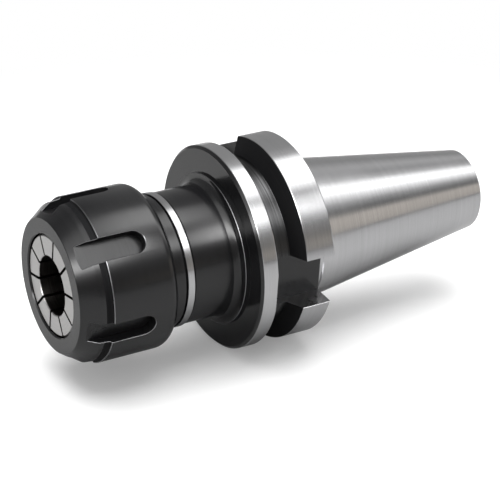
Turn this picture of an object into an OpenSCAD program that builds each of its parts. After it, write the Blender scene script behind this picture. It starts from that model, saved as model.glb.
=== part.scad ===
// Collet chuck tool holder: a steep taper holder, a slotted spring collet and its clamping nut.
// The axis is Z. The origin is the centre of the gauge plane, +Z points to the small end of
// the taper, and +X is the middle of one drive slot. The holder stands on the nut's front face.

/* [Taper shank] */
// Diameter at the gauge plane
gauge_d = 44.45; // [42:0.05:47]
// Length from the gauge plane to the small end
taper_len = 65.4; // [56:0.1:75]
// Chamfer round the small end
shank_chamfer = 1; // [0.3:0.1:2]
// Depth of the grinding relief between the taper and the flange
relief_depth = 0.4; // [0.1:0.1:1]

/* [Pull stud hole] */
// Diameter of the plain pilot bore that centres the pull stud
pilot_d = 17; // [15:0.1:19]
// Depth of the pilot bore
pilot_depth = 9; // [6:0.5:14]
// Inner diameter of the tapped hole
stud_hole_d = 13.84; // [12:0.01:14.8]
// Depth of the tapped hole from the small end
stud_hole_depth = 43; // [30:0.5:50]
// Diameter of the coolant bore between the tapped hole and the collet chamber
coolant_d = 10; // [6:0.5:11.5]

/* [Flange] */
// Outer diameter of the flange
flange_d = 63; // [58:0.5:68]
// Distance from the gauge plane to the flange's rear face
flange_setback = 2; // [1.5:0.1:3]
// Width of the flange from rear face to front face
flange_w = 25; // [23:0.1:28]
// Distance from the gauge plane to the middle of the gripper groove
groove_centre = 16.6; // [15:0.1:18]
// Width of the gripper groove at the flange's outside
groove_w = 10; // [8:0.1:11.5]
// Diameter of the gripper groove's floor
groove_floor_d = 53; // [50:0.5:56]
// Angle between the gripper groove's two flanks
groove_angle = 60; // [50:1:70]
// Chamfer round the flange's front face
front_chamfer = 0.9; // [0.3:0.1:1.5]
// Chamfer round the flange's rear face
rear_chamfer = 0.5; // [0.2:0.1:1.2]

/* [Drive slots and notch] */
// Width of the two drive slots
drive_slot_w = 16.1; // [14:0.1:18]
// Distance from the axis to a drive slot's floor
drive_slot_floor = 22.9; // [22.8:0.1:25]
// Stock left between a drive slot's end and the front edge of the gripper groove
drive_slot_stop = 0.4; // [0.2:0.1:1.5]
// Width of the orientation notch in the rear land
notch_w = 13; // [8:0.5:16]
// Distance from the axis to the notch's floor
notch_floor = 25.2; // [24:0.1:29]
// Direction of the notch, counted from the first drive slot
notch_angle = -127; // [-140:1:-110]

/* [Body] */
// Distance from the gauge plane to the nut's front face
gauge_len = 80; // [77:0.5:92]
// Diameter of the black neck in front of the flange
neck_d = 40.4; // [39:0.1:45]
// Radius of the fillet where the neck meets the shoulder
neck_fillet = 2.4; // [0.5:0.1:3]
// Thickness of the shoulder on the flange's front face
shoulder_h = 0.9; // [0.4:0.1:2]
// How far the shoulder stands out past the fillet
shoulder_ledge = 0.8; // [0.4:0.1:2]
// Diameter of the bright ground ring
ring_d = 41.2; // [40:0.1:45]
// Width of the ground ring
ring_w = 2.2; // [1.5:0.1:4]
// Width of the fine groove on each side of the ground ring
ring_groove_w = 0.4; // [0.2:0.1:0.8]
// Depth of those grooves below the neck
ring_groove_depth = 0.6; // [0.2:0.1:1]
// Diameter of the collar behind the nut
collar_d = 40.4; // [39:0.1:45]
// Width of the collar
collar_w = 3.4; // [2.5:0.1:6]
// Gap between the nut's rear face and the collar
collar_gap = 0.8; // [0.5:0.1:1.5]

/* [Clamping nut] */
// Outer diameter of the nut
nut_d = 50; // [47:0.5:55]
// Length of the nut
nut_len = 30; // [28:0.5:33]
// Outer diameter of the nut's flat front face
nose_d = 40.8; // [39:0.1:42]
// Length of the nut's steep front cone
nose_cone_len = 5; // [3:0.1:6]
// Diameter at the back of the steep front cone
nose_cone_d = 47.8; // [45:0.1:48]
// Length from the nut's front face to the small step
nose_len = 7.8; // [6.5:0.1:9]
// Height of the small step behind the front cone
step_h = 0.8; // [0.4:0.1:1.3]
// Radius round the nut's rear edge
back_round = 3; // [1:0.1:3.5]
// Number of spanner slots
spanner_count = 6; // [4:1:8]
// Width of a spanner slot
spanner_w = 7; // [5:0.1:9]
// Wall left between a spanner slot's floor and the outside of the thread
spanner_wall = 1.5; // [1:0.1:2.5]
// Length of nut left behind a spanner slot's round end
spanner_back = 7.9; // [5:0.1:11]
// Direction of the first spanner slot
spanner_angle = 10; // [0:1:59]
// Outer diameter of the thread
thread_d = 40; // [38:0.5:42]
// Pitch of the thread
thread_pitch = 1.5; // [1:0.25:2]

/* [Spring collet] */
// Length of the collet
collet_len = 40; // [36:0.5:44]
// Largest diameter of the collet's rear taper
collet_d = 33; // [31:0.1:34]
// Half angle of the rear taper
seat_angle = 8; // [6:0.5:9]
// Bore that grips the cutting tool
bore_d = 18; // [6:0.5:19]
// Diameter of the collet's front face
face_d = 30; // [28.5:0.1:30.4]
// Angle between the front cone and the axis
head_angle = 30; // [27:1:35]
// Width of the plain rim behind the front cone
rim_w = 0.9; // [0.5:0.1:1.5]
// Width of the extraction groove
pull_groove_w = 3.8; // [3:0.1:5]
// Diameter of the extraction groove's floor
pull_groove_d = 29.2; // [28:0.1:30]
// How far the collet's face lies behind the nut's face
face_recess = 0.5; // [0.2:0.1:1.2]
// Number of slits cut from each end
slit_count = 10; // [6:1:10]
// Width of a slit
slit_w = 0.9; // [0.5:0.1:1.2]
// Direction of the first slit in the face
slit_angle = 21.4; // [0:0.1:36]
// Uncut length left by the slits that start at the front
rear_web = 6; // [4:0.5:10]
// Uncut length left by the slits that start at the rear
front_web = 6.5; // [5:0.5:10]
// Length of collet taper that stands out of its seat
seat_standout = 2.4; // [1.5:0.1:4]

/* [Hidden] */

$fn = 96;
over = 1;
taper_per_mm = 7 / 24 / 2;
drill_half_angle = 59;
edge = 0.3;

// Clearances between pieces, and the depth of the chamber behind the collet
seat_gap = 0.06;
head_gap = 0.06;
thread_gap = 0.08;
mouth_gap = 0.6;
pocket_gap = 0.3;
lip_gap = 0.4;
lip_floor_gap = 0.5;
lip_pass_gap = 0.7;
seat_runout = 3;
chamber_len = 14;

// Shank and flange
small_r = gauge_d / 2 - taper_len * taper_per_mm;
relief_r = gauge_d / 2 - relief_depth;
flange_r = flange_d / 2;
flange_rear_z = -flange_setback;
flange_front_z = flange_rear_z - flange_w;
groove_rear_z = -groove_centre + groove_w / 2;
groove_front_z = -groove_centre - groove_w / 2;
groove_floor_r = groove_floor_d / 2;
flank_run = (flange_r - groove_floor_r) * tan(groove_angle / 2);

// Collet, placed from the nut's face
nut_face_z = -gauge_len;
nut_back_z = nut_face_z + nut_len;
face_z = nut_face_z + face_recess;
face_r = face_d / 2;
bore_r = bore_d / 2;
collet_r = collet_d / 2;
rim_r = collet_r - 0.1;
rim_z = face_z + (rim_r - face_r) / tan(head_angle);
pull_groove_z = rim_z + rim_w;
pull_groove_r = pull_groove_d / 2;
taper_z = pull_groove_z + pull_groove_w;
collet_back_z = face_z + collet_len;

// Seat of the collet in the holder, and the holder's nose
nose_z = taper_z + seat_standout;
seat_end_z = collet_back_z + seat_runout;
chamber_end_z = collet_back_z + chamber_len;
chamber_r = collet_seat_r(seat_end_z) - edge;
stud_bottom_z = taper_len - stud_hole_depth;
pilot_bottom_z = taper_len - pilot_depth;

// Thread, as plain cylinders at its pitch diameter
pitch_r = (thread_d - 0.6495 * thread_pitch) / 2;
male_r = pitch_r - thread_gap / 2;
female_r = pitch_r + thread_gap / 2;
undercut_r = thread_d / 2 - 0.85 * thread_pitch;
relief_bore_r = thread_d / 2 + edge;

// Neck, ring and collar, placed from the nut's rear face
collar_front_z = nut_back_z + collar_gap;
collar_rear_z = collar_front_z + collar_w;
ring_front_z = collar_rear_z + ring_groove_w;
ring_rear_z = ring_front_z + ring_w;
neck_front_z = ring_rear_z + ring_groove_w;
neck_r = neck_d / 2;
ring_r = ring_d / 2;
collar_r = collar_d / 2;
ring_groove_r = min(neck_r, collar_r, ring_r) - ring_groove_depth;
shoulder_z = flange_front_z - shoulder_h;
shoulder_r = neck_r + neck_fillet + shoulder_ledge;

// Nut
nut_r = nut_d / 2;
nose_r = nose_d / 2;
step_z = nut_face_z + nose_len + step_h;
mouth_r = face_r + mouth_gap;
pocket_r = rim_r + pocket_gap;
lip_front_z = pull_groove_z + lip_gap;
lip_back_z = taper_z - lip_gap;
lip_low_r = pull_groove_r + lip_floor_gap;
lip_high_r = rim_r + lip_pass_gap;
spanner_floor = thread_d / 2 + spanner_wall;
spanner_end_z = nut_back_z - spanner_back - spanner_w / 2;

// Radius of the collet's rear taper, and of its seat, at a height
function collet_taper_r(z) = collet_r - (z - taper_z) * tan(seat_angle);
function collet_seat_r(z) = collet_taper_r(z) + seat_gap;
// Height at which the nut's inner cone has a given radius
function nut_cone_z(r) = face_z + (r - face_r - head_gap) / tan(head_angle);
// Points of an arc in a lathe profile, from one angle to another
function arc(r, z, radius, from, to, steps = 6) =
    [for (i = [0 : steps]) let (a = from + (to - from) * i / steps)
        [r + radius * cos(a), z + radius * sin(a)]];

module shank_and_body() {
    rotate_extrude()
        polygon(concat(
            [[0, nose_z], [male_r - 1, nose_z], [male_r, nose_z + 1],
             [male_r, nut_back_z - thread_pitch - edge], [undercut_r, nut_back_z - thread_pitch],
             [undercut_r, collar_front_z], [collar_r - edge, collar_front_z],
             [collar_r, collar_front_z + edge], [collar_r, collar_rear_z],
             [ring_groove_r, collar_rear_z], [ring_groove_r, ring_front_z],
             [ring_r, ring_front_z], [ring_r, ring_rear_z],
             [ring_groove_r, ring_rear_z], [ring_groove_r, neck_front_z],
             [neck_r, neck_front_z]],
            arc(neck_r + neck_fillet, shoulder_z - neck_fillet, neck_fillet, 180, 90),
            [[shoulder_r - edge, shoulder_z], [shoulder_r, shoulder_z + edge],
             [shoulder_r, flange_front_z],
             [flange_r - front_chamfer, flange_front_z],
             [flange_r, flange_front_z + front_chamfer],
             [flange_r, groove_front_z],
             [groove_floor_r, groove_front_z + flank_run],
             [groove_floor_r, groove_rear_z - flank_run],
             [flange_r, groove_rear_z],
             [flange_r, flange_rear_z - rear_chamfer],
             [flange_r - rear_chamfer, flange_rear_z],
             [relief_r, flange_rear_z], [relief_r, -relief_depth], [gauge_d / 2, 0],
             [small_r + shank_chamfer * taper_per_mm, taper_len - shank_chamfer],
             [small_r - shank_chamfer, taper_len],
             [0, taper_len]]));
}

module collet_seat() {
    mouth_edge_r = collet_seat_r(nose_z);
    rotate_extrude()
        polygon([
            [0, nose_z - over], [mouth_edge_r + edge, nose_z - over],
            [mouth_edge_r + edge, nose_z], [collet_seat_r(nose_z + edge), nose_z + edge],
            [collet_seat_r(seat_end_z), seat_end_z],
            [chamber_r, seat_end_z], [chamber_r, chamber_end_z],
            [coolant_d / 2, chamber_end_z + (chamber_r - coolant_d / 2) / tan(drill_half_angle)],
            [0, chamber_end_z + (chamber_r - coolant_d / 2) / tan(drill_half_angle)]]);
}

module pull_stud_hole() {
    stud_r = stud_hole_d / 2;
    drill_tip = (stud_r - coolant_d / 2) / tan(drill_half_angle);
    translate([0, 0, collet_back_z])
        cylinder(d = coolant_d, h = taper_len - collet_back_z);
    translate([0, 0, stud_bottom_z])
        cylinder(r = stud_r, h = stud_hole_depth);
    translate([0, 0, stud_bottom_z - drill_tip])
        cylinder(d1 = coolant_d, r2 = stud_r, h = drill_tip);
    translate([0, 0, pilot_bottom_z])
        cylinder(d = pilot_d, h = pilot_depth + over);
    translate([0, 0, taper_len - shank_chamfer / 2])
        cylinder(d1 = pilot_d, d2 = pilot_d + 2 * shank_chamfer, h = shank_chamfer);
}

module drive_slot(angle) {
    end_z = groove_front_z + drive_slot_stop;
    rotate([0, 0, angle])
        translate([drive_slot_floor, -drive_slot_w / 2, end_z])
            cube([flange_r, drive_slot_w, flange_rear_z + over - end_z]);
}

module orientation_notch() {
    rotate([0, 0, notch_angle])
        translate([notch_floor, -notch_w / 2, -groove_centre])
            cube([flange_r, notch_w, groove_centre + flange_rear_z + over]);
}

module holder() {
    color([0.62, 0.62, 0.63])
        difference() {
            shank_and_body();
            collet_seat();
            pull_stud_hole();
            for (angle = [0, 180]) drive_slot(angle);
            orientation_notch();
        }
}

module nut_blank() {
    rotate_extrude()
        polygon(concat(
            [[0, nut_face_z], [nose_r, nut_face_z],
             [min(nose_cone_d / 2, nut_r - step_h), nut_face_z + nose_cone_len],
             [nut_r - step_h, nut_face_z + nose_len]],
            arc(nut_r - edge, step_z - step_h + edge, step_h - edge, 180, 90, 4),
            [[nut_r, step_z]],
            arc(nut_r - back_round, nut_back_z - back_round, back_round, 0, 90),
            [[0, nut_back_z]]));
}

module nut_front_cone() {
    rotate_extrude()
        polygon([
            [0, nut_face_z - over], [mouth_r + edge, nut_face_z - over],
            [mouth_r + edge, nut_face_z], [mouth_r, nut_face_z + edge],
            [mouth_r, nut_cone_z(mouth_r)], [pocket_r, nut_cone_z(pocket_r)],
            [pocket_r, lip_front_z], [0, lip_front_z]]);
}

// The lip is eccentric: one side reaches into the collet's groove and pulls the collet out
module extraction_lip_hole() {
    translate([(lip_high_r - lip_low_r) / 2, 0, lip_front_z - over])
        cylinder(r = (lip_high_r + lip_low_r) / 2, h = lip_back_z - lip_front_z + 2 * over);
}

module nut_thread_bore() {
    relief_end_z = nose_z + edge;
    rotate_extrude()
        polygon([
            [0, lip_back_z], [relief_bore_r - edge, lip_back_z],
            [relief_bore_r, lip_back_z + edge], [relief_bore_r, relief_end_z],
            [female_r, relief_end_z + relief_bore_r - female_r],
            [female_r, nut_back_z - 2 * edge], [female_r + 2 * edge, nut_back_z],
            [female_r + 2 * edge, nut_back_z + over], [0, nut_back_z + over]]);
}

module spanner_slot(angle) {
    slot_len = spanner_end_z - nut_face_z;
    rotate([0, 0, angle]) {
        translate([spanner_floor, -spanner_w / 2, nut_face_z - over])
            cube([nut_r, spanner_w, slot_len + over]);
        translate([spanner_floor, 0, spanner_end_z])
            rotate([0, 90, 0])
                cylinder(d = spanner_w, h = nut_r);
    }
}

module nut() {
    color([0.13, 0.13, 0.14])
        difference() {
            nut_blank();
            nut_front_cone();
            extraction_lip_hole();
            nut_thread_bore();
            for (i = [0 : spanner_count - 1]) spanner_slot(spanner_angle + i * 360 / spanner_count);
        }
}

module collet_blank() {
    rotate_extrude()
        polygon([
            [bore_r + edge, face_z], [face_r - edge / 2, face_z], [face_r, face_z + edge / 2],
            [rim_r, rim_z], [rim_r, pull_groove_z],
            [pull_groove_r, pull_groove_z], [pull_groove_r, taper_z],
            [collet_taper_r(taper_z), taper_z],
            [collet_taper_r(collet_back_z - edge), collet_back_z - edge],
            [collet_taper_r(collet_back_z) - edge, collet_back_z],
            [bore_r + edge, collet_back_z], [bore_r, collet_back_z - edge],
            [bore_r, face_z + edge]]);
}

module slit(angle, low_z, high_z) {
    rotate([0, 0, angle])
        translate([bore_r / 2, -slit_w / 2, low_z])
            cube([collet_r, slit_w, high_z - low_z]);
}

module collet() {
    pitch = 360 / slit_count;
    color([0.66, 0.65, 0.64])
        difference() {
            collet_blank();
            for (i = [0 : slit_count - 1]) {
                slit(slit_angle + i * pitch, face_z - over, collet_back_z - rear_web);
                slit(slit_angle + (i + 0.5) * pitch, face_z + front_web, collet_back_z + over);
            }
        }
}

holder();
nut();
collet();
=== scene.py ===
# %% [markdown]
# # A collet chuck tool holder
# A tool holder joins a cutting tool to the spindle of a milling machine. Its steep taper
# centres it in the spindle, its flange is what the tool changer grips, and a slotted collet
# in its nose closes round the tool when the nut is turned. Everything on it is turned on a
# lathe first, and a few slots are milled afterwards, so this lesson works the same way.

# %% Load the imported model
import math
import bmesh
import bpy
from mathutils import Matrix, Vector


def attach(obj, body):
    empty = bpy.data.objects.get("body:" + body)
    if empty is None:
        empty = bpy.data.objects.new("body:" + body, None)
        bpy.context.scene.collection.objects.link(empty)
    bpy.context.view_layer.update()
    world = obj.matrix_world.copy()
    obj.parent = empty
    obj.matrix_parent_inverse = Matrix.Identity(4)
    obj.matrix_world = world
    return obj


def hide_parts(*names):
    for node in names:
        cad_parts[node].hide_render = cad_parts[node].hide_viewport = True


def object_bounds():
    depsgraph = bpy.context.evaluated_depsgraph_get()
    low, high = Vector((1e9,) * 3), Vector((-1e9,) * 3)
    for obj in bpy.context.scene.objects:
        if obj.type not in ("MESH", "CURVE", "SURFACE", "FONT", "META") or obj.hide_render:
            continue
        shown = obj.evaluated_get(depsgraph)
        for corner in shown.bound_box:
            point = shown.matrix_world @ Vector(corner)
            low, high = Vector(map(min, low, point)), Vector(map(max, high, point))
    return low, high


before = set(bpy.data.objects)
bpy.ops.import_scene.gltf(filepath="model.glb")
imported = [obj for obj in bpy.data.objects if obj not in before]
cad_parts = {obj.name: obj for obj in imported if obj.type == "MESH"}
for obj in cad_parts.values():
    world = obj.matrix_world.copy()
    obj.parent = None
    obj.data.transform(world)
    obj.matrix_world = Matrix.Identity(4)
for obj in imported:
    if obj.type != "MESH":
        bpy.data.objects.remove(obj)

cad_low, cad_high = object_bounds()
MM = 0.001
print("nodes", sorted(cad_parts), "height", round(cad_high.z - cad_low.z, 4))

# %% [markdown]
# ## The camera
# The photograph was taken with a long lens, slightly above the holder, which lies on its side
# and points to the lower left. Three angles say how the holder's axis lies in the picture, and
# one point and one distance say where its gauge plane is, the plane at which the taper is
# measured. With these the camera can be placed in the holder's own frame, so the model itself
# never has to be turned.

# %% How the holder lies in the picture
AXIS_AZIMUTH = math.radians(62.37)
AXIS_DIP = math.radians(12.15)
AXIS_ROLL = math.radians(28.6)


def picture_axes():
    """The holder's X, Y and Z as directions in the picture: right, down and into it."""
    z = Vector((
        math.sin(AXIS_AZIMUTH) * math.cos(AXIS_DIP),
        -math.sin(AXIS_DIP),
        math.cos(AXIS_AZIMUTH) * math.cos(AXIS_DIP),
    ))
    level = Vector((0, 1, 0)).cross(z).normalized()
    steep = z.cross(level)
    x = math.cos(AXIS_ROLL) * level + math.sin(AXIS_ROLL) * steep
    y = -math.sin(AXIS_ROLL) * level + math.cos(AXIS_ROLL) * steep
    return x, y, z


pic_x, pic_y, pic_z = picture_axes()


def in_holder_frame(pictured):
    """A place or direction in the picture, told in the holder's own frame."""
    return Vector((pic_x.dot(pictured), pic_y.dot(pictured), pic_z.dot(pictured)))


eye_right = in_holder_frame(Vector((1, 0, 0)))
eye_up = in_holder_frame(Vector((0, -1, 0)))
eye_back = in_holder_frame(Vector((0, 0, -1)))
print("the camera looks along", [round(-part, 3) for part in eye_back])

# %% Place the camera
PHOTO_PX = 500
FOCAL_PX = 1900.0
SENSOR_WIDTH = 36.0
GAUGE_POINT_PX = (286.6, 229.5)
GAUGE_DISTANCE = 0.5869


def placed(name, data):
    """A new object for the data, in the scene."""
    made = bpy.data.objects.new(name, data)
    bpy.context.scene.collection.objects.link(made)
    return made


middle = PHOTO_PX / 2
gauge_in_picture = Vector((
    (GAUGE_POINT_PX[0] - middle) / FOCAL_PX * GAUGE_DISTANCE,
    (GAUGE_POINT_PX[1] - middle) / FOCAL_PX * GAUGE_DISTANCE,
    GAUGE_DISTANCE,
))
eye = -in_holder_frame(gauge_in_picture)
camera_data = bpy.data.cameras.new("camera")
camera_data.sensor_width = SENSOR_WIDTH
camera_data.lens = FOCAL_PX / PHOTO_PX * SENSOR_WIDTH
camera = placed("camera", camera_data)
turn = Matrix((eye_right, eye_up, eye_back)).transposed().to_4x4()
camera.matrix_world = Matrix.Translation(eye) @ turn
bpy.context.scene.camera = camera
print("camera at", [round(part, 3) for part in eye], "lens", round(camera_data.lens, 1))

# %% [markdown]
# ## Node helpers
# Node trees are long to write one socket at a time. The first helper adds a node, sets its
# options and fills its inputs, where an input is either a plain value or another node's output.
# Two more do arithmetic, on values and on whole numbers. The last one starts a Geometry Nodes
# tree with named inputs, and keeps their identifiers, because a modifier knows each input by
# its identifier and not by its name.

# %% Helpers that add nodes
def add(tree, kind, inputs=None, **options):
    """A new node, with its options set and its inputs filled or linked."""
    node = tree.nodes.new(kind)
    for name, value in options.items():
        setattr(node, name, value)
    for key, value in (inputs or {}).items():
        socket = node.inputs[key]
        if isinstance(value, bpy.types.NodeSocket):
            tree.links.new(value, socket)
        else:
            socket.default_value = value
    return node


def calc(tree, operation, a, b=0.0, clamp=False):
    """One step of arithmetic on values, as a node."""
    inputs = {0: a, 1: b}
    return add(tree, "ShaderNodeMath", inputs, operation=operation, use_clamp=clamp).outputs[0]


def whole(tree, operation, a, b):
    """One step of arithmetic on whole numbers, as a node."""
    return add(tree, "FunctionNodeIntegerMath", {0: a, 1: b}, operation=operation).outputs[0]


def new_tree(name, inputs, output):
    """A Geometry Nodes tree, what it is given, and its inputs' identifiers by their names."""
    tree = bpy.data.node_groups.new(name, "GeometryNodeTree")
    keys = {}
    for label, kind in inputs:
        made = tree.interface.new_socket(label, in_out="INPUT", socket_type="NodeSocket" + kind)
        keys[label] = made.identifier
    tree.interface.new_socket(output, in_out="OUTPUT", socket_type="NodeSocketGeometry")
    return tree, add(tree, "NodeGroupInput").outputs, keys


print("helpers: add, calc, whole, new_tree")

# %% [markdown]
# ## Plain meshes
# A piece begins as a few points or faces, and a tree turns them into its real shape. The export
# wants plain meshes and no live modifiers. The mesh that the tree makes is copied out of the
# evaluated object, and the modifier is removed, so the piece is left a plain mesh with no live
# modifiers.

# %% Helpers that make plain meshes
def new_object(name, vertices, faces):
    """An object whose mesh has these vertices and faces."""
    mesh = bpy.data.meshes.new(name)
    mesh.from_pydata(vertices, [], faces)
    return placed(name, mesh)


def shaped(thing, tree, keys, values):
    """Shapes the object by the tree with these inputs, and leaves it a plain mesh."""
    nodes = thing.modifiers.new(tree.name, "NODES")
    nodes.node_group = tree
    for label, value in values.items():
        nodes[keys[label]] = value
    evaluated = thing.evaluated_get(bpy.context.evaluated_depsgraph_get())
    mesh = bpy.data.meshes.new_from_object(evaluated)
    thing.modifiers.clear()
    thing.data = mesh


print("helpers: new_object, shaped")

# %% [markdown]
# ## The lathe
# A lathe turns a profile round an axis. Its tree lays a grid with one row of points for each
# step round the axis, moves every row to the profile's points turned by the row's angle, and
# merges the first and last rows. Each stretch of the profile carries a number for its finish,
# which the faces keep. Cutters, the milling tools, are subtracted at the end. A screw modifier
# could turn a profile too, but it would lose the finish numbers.

# %% Rows of points
WELD = 1e-6


def count_and_index(tree, section):
    """How many points the section has, and each point's own number."""
    count = add(tree, "GeometryNodeAttributeDomainSize", {0: section}).outputs["Point Count"]
    return count, add(tree, "GeometryNodeInputIndex").outputs[0]


def rows_of(tree, section, rows):
    """A grid with one row of the section's points for each step, and for each of its points
    the number of its row and its place in the section."""
    count, index = count_and_index(tree, section)
    grid = add(tree, "GeometryNodeMeshGrid", {"Vertices X": rows, "Vertices Y": count})
    position = add(tree, "GeometryNodeInputPosition").outputs[0]
    row = whole(tree, "DIVIDE_FLOOR", index, count)
    place = whole(tree, "MODULO", index, count)
    point = add(
        tree, "GeometryNodeSampleIndex",
        {"Geometry": section, "Value": position, "Index": place}, data_type="FLOAT_VECTOR",
    )
    return grid.outputs["Mesh"], row, point.outputs[0]


def welded(tree, geometry):
    """The geometry with the points merged that lie on one another."""
    inputs = {"Geometry": geometry, "Distance": WELD}
    return add(tree, "GeometryNodeMergeByDistance", inputs).outputs[0]


print("points closer than", WELD / MM, "mm are merged")

# %% The lathe tree
SEGMENTS = 256
FINISH = "finish"


def finish_number(tree):
    """The number of the finish, as the points or the faces carry it."""
    inputs = {"Name": FINISH}
    return add(tree, "GeometryNodeInputNamedAttribute", inputs, data_type="INT").outputs[0]


def lathe_tree(finishes):
    """A profile turned round the axis, with the cutters subtracted and the finishes set."""
    inputs = (("Profile", "Geometry"), ("Steps round the axis", "Int"), ("Cutters", "Object"))
    tree, given, keys = new_tree("lathe", inputs, "Turned part")
    rows = whole(tree, "ADD", given["Steps round the axis"], 1)
    grid, row, point = rows_of(tree, given["Profile"], rows)
    step = calc(tree, "DIVIDE", math.tau, given["Steps round the axis"])
    angle = calc(tree, "MULTIPLY", row, step)
    turned = add(
        tree, "ShaderNodeVectorRotate", {"Vector": point, "Angle": angle}, rotation_type="Z_AXIS",
    )
    skin = add(
        tree, "GeometryNodeSetPosition", {"Geometry": grid, "Position": turned.outputs[0]},
    )
    count, index = count_and_index(tree, given["Profile"])
    stretch = whole(tree, "MODULO", index, whole(tree, "SUBTRACT", count, 1))
    finish = add(
        tree, "GeometryNodeSampleIndex",
        {"Geometry": given["Profile"], "Value": finish_number(tree), "Index": stretch},
        data_type="INT",
    )
    marked = add(
        tree, "GeometryNodeStoreNamedAttribute",
        {"Geometry": skin.outputs[0], "Name": FINISH, "Value": finish.outputs[0]},
        data_type="INT", domain="FACE",
    )
    closed = welded(tree, marked.outputs[0])
    outward = add(tree, "GeometryNodeFlipFaces", {"Mesh": closed})
    cutters = add(tree, "GeometryNodeObjectInfo", {"Object": given["Cutters"]})
    milled = add(
        tree, "GeometryNodeMeshBoolean",
        {"Mesh 1": outward.outputs[0], "Mesh 2": cutters.outputs["Geometry"]},
        operation="DIFFERENCE", solver="EXACT",
    )
    shown = add(tree, "GeometryNodeRealizeInstances", {"Geometry": milled.outputs["Mesh"]})
    for number, material in enumerate(finishes):
        same = add(
            tree, "FunctionNodeCompare", {"A": finish_number(tree), "B": number},
            data_type="INT", operation="EQUAL",
        )
        shown = add(
            tree, "GeometryNodeSetMaterial",
            {"Geometry": shown.outputs[0], "Selection": same.outputs[0], "Material": material},
        )
    add(tree, "NodeGroupOutput", {0: shown.outputs[0]})
    return tree, keys


print("lathe tree: a profile, its steps round the axis and its cutters go in")

# %% [markdown]
# ## Closed cutters
# The slots are milled after turning. A cutter is a closed solid as wide as its slot. It is built
# from outlines laid one on another, and each layer has a number for the finish of the walls
# that it leaves in the metal.

# %% Cutters from outlines
def stacked(name, rings, finishes, floor):
    """A closed cutter from outlines in mm laid one on another, with a finish for each layer."""
    count = len(rings[0])
    points = [Vector(corner) * MM for ring in rings for corner in ring]
    faces = []
    marks = []
    for layer, finish in enumerate(finishes):
        first = layer * count
        for i in range(count):
            after = (i + 1) % count
            faces.append((first + i, first + after, first + after + count, first + i + count))
            marks.append(finish)
    last = len(finishes) * count
    faces += [tuple(reversed(range(count))), tuple(range(last, last + count))]
    solid = new_object(name, points, faces)
    kept = solid.data.attributes.new(FINISH, "INT", "FACE")
    for value, mark in zip(kept.data, marks + [floor, floor]):
        value.value = mark
    return solid


def swept(name, outline, low, high, finish):
    """A closed cutter: an outline in mm, swept along Z."""
    rings = [[(x, y, z) for x, y in outline] for z in (low, high)]
    return stacked(name, rings, [finish], finish)


print("cutters: stacked or swept from their outlines")

# %% [markdown]
# The edges of a milled slot are never quite sharp. A small flat is left where each wall meets
# the surface, and it catches the light as a thin bright line. So a slot's cutter has a second
# layer that flares outwards, and the flare begins just under the surface of the piece.

# %% A slot with broken edges
EDGE_BREAK = 0.16
LEAST_WALL = 0.05
REACH = 2.0


def slot_cutter(name, outline, floor, surface_r, walls, edges, floor_finish):
    """A slot milled inwards to its floor, whose edges are broken where it leaves the surface."""
    starts = []
    for y, z in outline:
        surface = math.sqrt(surface_r(z) ** 2 - y * y)
        starts.append(max(surface - EDGE_BREAK, floor + LEAST_WALL))
    top_x = max(starts) + REACH
    bottom, rim, top = [], [], []
    for i, (y, z) in enumerate(outline):
        before, after = outline[i - 1], outline[(i + 1) % len(outline)]
        out = Vector((after[1] - before[1], before[0] - after[0])).normalized()
        out *= top_x - starts[i]
        bottom.append((floor, y, z))
        rim.append((starts[i], y, z))
        top.append((top_x, y + out[0], z + out[1]))
    return stacked(name, [bottom, rim, top], [walls, edges], floor_finish)


print("slots: their edges are broken by", EDGE_BREAK, "mm")

# %% [markdown]
# ## Cutters round the axis
# A cutter lies on one side of the axis. A second tree repeats it at equal angles, as a dividing
# head does on a real milling machine. All the cutters of a piece are then joined in one object,
# which the lathe tree subtracts.

# %% A tree that repeats a cutter
def ring_tree():
    """A cutter repeated at equal angles round the axis."""
    inputs = (("Cutter", "Object"), ("Count", "Int"), ("First angle", "Float"))
    tree, given, keys = new_tree("ring of cutters", inputs, "Ring")
    one = add(tree, "GeometryNodeObjectInfo", {"Object": given["Cutter"]}).outputs["Geometry"]
    points = add(tree, "GeometryNodeMeshLine", {"Count": given["Count"], "Offset": (0, 0, 0)})
    index = add(tree, "GeometryNodeInputIndex").outputs[0]
    step = calc(tree, "DIVIDE", math.tau, given["Count"])
    angle = calc(tree, "ADD", calc(tree, "MULTIPLY", index, step), given["First angle"])
    turn = add(tree, "ShaderNodeCombineXYZ", {"Z": angle})
    ring = add(
        tree, "GeometryNodeInstanceOnPoints",
        {"Points": points.outputs[0], "Instance": one, "Rotation": turn.outputs[0]},
    )
    real = add(tree, "GeometryNodeRealizeInstances", {"Geometry": ring.outputs[0]})
    add(tree, "NodeGroupOutput", {0: real.outputs[0]})
    return tree, keys


RING_TREE, RING_KEYS = ring_tree()


def ring_of(cutter, count, first_degrees):
    """The cutter repeated round the axis, as one plain mesh."""
    ring = new_object(cutter.name + "_ring", [], [])
    shaped(ring, RING_TREE, RING_KEYS, {
        "Cutter": cutter, "Count": count, "First angle": math.radians(first_degrees),
    })
    bpy.data.objects.remove(cutter)
    return ring


def joined(name, rings):
    """All the cutters of one piece in one object."""
    build = bmesh.new()
    for ring in rings:
        build.from_mesh(ring.data)
        bpy.data.objects.remove(ring)
    made = new_object(name, [], [])
    build.to_mesh(made.data)
    build.free()
    return made


print("ring tree: a cutter, a count and a first angle go in")

# %% [markdown]
# ## The pattern in the metal
# Every piece was turned or ground round the axis, so all the finishes share one pattern of fine
# lines. The pattern reads how far a point lies along the axis plus how far it lies from it: on
# a cylinder that makes rings, and on a flat face it makes circles. The lines drift a little
# round the axis, so that no ring looks drawn. A second, soft noise stands for handling, which
# leaves patches that are a little duller. Both are in one group that every finish uses with its
# own sizes.

# %% The shared pattern of turned lines
LINE_DRIFT = 25.0


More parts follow.
